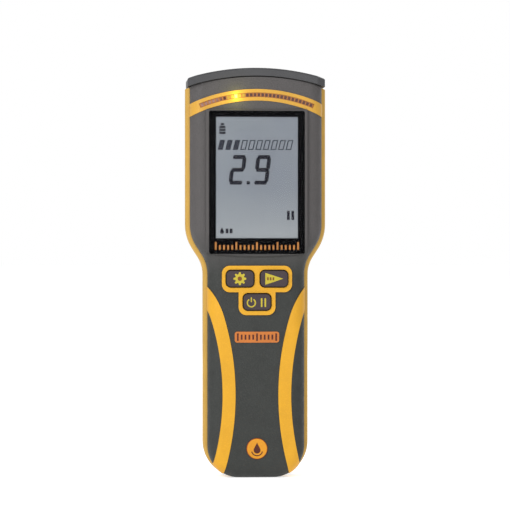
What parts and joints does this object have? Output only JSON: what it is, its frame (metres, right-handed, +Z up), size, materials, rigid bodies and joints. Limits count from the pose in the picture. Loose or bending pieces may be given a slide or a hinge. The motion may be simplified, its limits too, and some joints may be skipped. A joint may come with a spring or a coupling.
{
  "type": "moisture meter",
  "caption": "Hand-held moisture meter with a display, an arched light scale, a keypad, a waisted grip, a domed sensor on the back and a cap over a probe port.",
  "frame": {"origin": "centre of the flat foot, in the plane where the front and rear shells meet", "axes": "+Z up along the instrument from its foot to its cap, the display faces -Y, +X to the right as the display is read"},
  "size_m": [0.07, 0.0487, 0.203],
  "materials": {
    "case_grey": "fine moulded grain",
    "back_grey": "fine moulded grain",
    "rubber_yellow": "satin overmoulded rubber",
    "plate_orange": "satin",
    "cap_grey": "semi-gloss",
    "seal_black": "matt",
    "lens_clear": "polished",
    "mask_black": "printed, gloss",
    "lcd_grey": "polarised glass",
    "acrylic_white": "frosted",
    "holder_white": "moulded",
    "zebra_rubber": "silicone",
    "scale_brown": "smoked, gloss",
    "guide_smoke": "smoked, gloss",
    "led_amber": "clear epoxy",
    "key_grey": "satin",
    "mat_grey": "silicone",
    "switch_metal": "stamped",
    "pcb_green": "solder mask",
    "chip_black": "moulded epoxy",
    "steel": "zinc plated",
    "spring_steel": "nickel plated",
    "brass": "turned",
    "copper_plate": "plated",
    "sounder_black": "moulded",
    "dome_black": "fine texture",
    "cell_jacket": "printed sleeve"
  },
  "bodies": {
    "case": {"front_shell": "case_grey", "rear_shell": "back_grey", "perimeter_band": "rubber_yellow", "arch_trim": "rubber_yellow", "left_grip_stripe": "rubber_yellow", "right_grip_stripe": "rubber_yellow", "keypad_surround": "rubber_yellow", "nameplate": "plate_orange", "badge": "plate_orange", "case_seal": "seal_black", "cap_gasket": "seal_black", "display_lens": "lens_clear", "display_mask": "mask_black", "lcd_panel": "lcd_grey", "lcd_backlight": "acrylic_white", "lcd_holder": "holder_white", "lcd_connector": "zebra_rubber", "scale_mask": "scale_brown", "scale_light_guide": "guide_smoke", "scale_leds": "led_amber", "keypad_mat": "mat_grey", "key_switches": "switch_metal", "main_pcb": "pcb_green", "pcb_screws": "steel", "microcontroller": "chip_black", "pcb_components": "chip_black", "piezo_buzzer": "sounder_black", "sensor_dome": "dome_black", "sensor_electrode": "copper_plate", "sensor_guard_ring": "copper_plate", "sensor_post": "holder_white", "sensor_contact": "spring_steel", "probe_socket": "sounder_black", "probe_contacts": "brass", "battery_left": "cell_jacket", "battery_right": "cell_jacket", "battery_springs": "spring_steel", "battery_link": "spring_steel", "battery_terminals": "spring_steel", "hinge_pin": "steel", "latch_insert": "brass", "door_seal": "seal_black", "case_screws": "steel"},
    "settings_key": {"key_settings": "key_grey"},
    "reference_key": {"key_reference": "key_grey"},
    "power_key": {"key_power": "key_grey"},
    "door": {"battery_door": "back_grey"},
    "lock_screw": {"door_screw": "steel"},
    "cap": {"top_cap": "cap_grey"}
  },
  "joints": [
    {"name": "settings_key_press", "type": "slide", "parent": "case", "child": "settings_key", "axis": [0, 1, 0], "range_m": [0, 0.0006], "stiffness_N_per_m": 1500},
    {"name": "reference_key_press", "type": "slide", "parent": "case", "child": "reference_key", "axis": [0, 1, 0], "range_m": [0, 0.0006], "stiffness_N_per_m": 1500},
    {"name": "power_key_press", "type": "slide", "parent": "case", "child": "power_key", "axis": [0, 1, 0], "range_m": [0, 0.0006], "stiffness_N_per_m": 1500},
    {"name": "battery_door_hinge", "type": "hinge", "parent": "case", "child": "door", "pos_m": [0, 0.012, 0.0275], "axis": [-1, 0, 0], "range_deg": [0, 80]},
    {"name": "door_screw_turn", "type": "hinge", "parent": "door", "child": "lock_screw", "pos_m": [0, 0.0132, 0.088], "axis": [0, 1, 0], "continuous": true},
    {"name": "cap_slide", "type": "slide", "parent": "case", "child": "cap", "axis": [0, 0, 1], "range_m": [0, 0.025]}
  ]
}
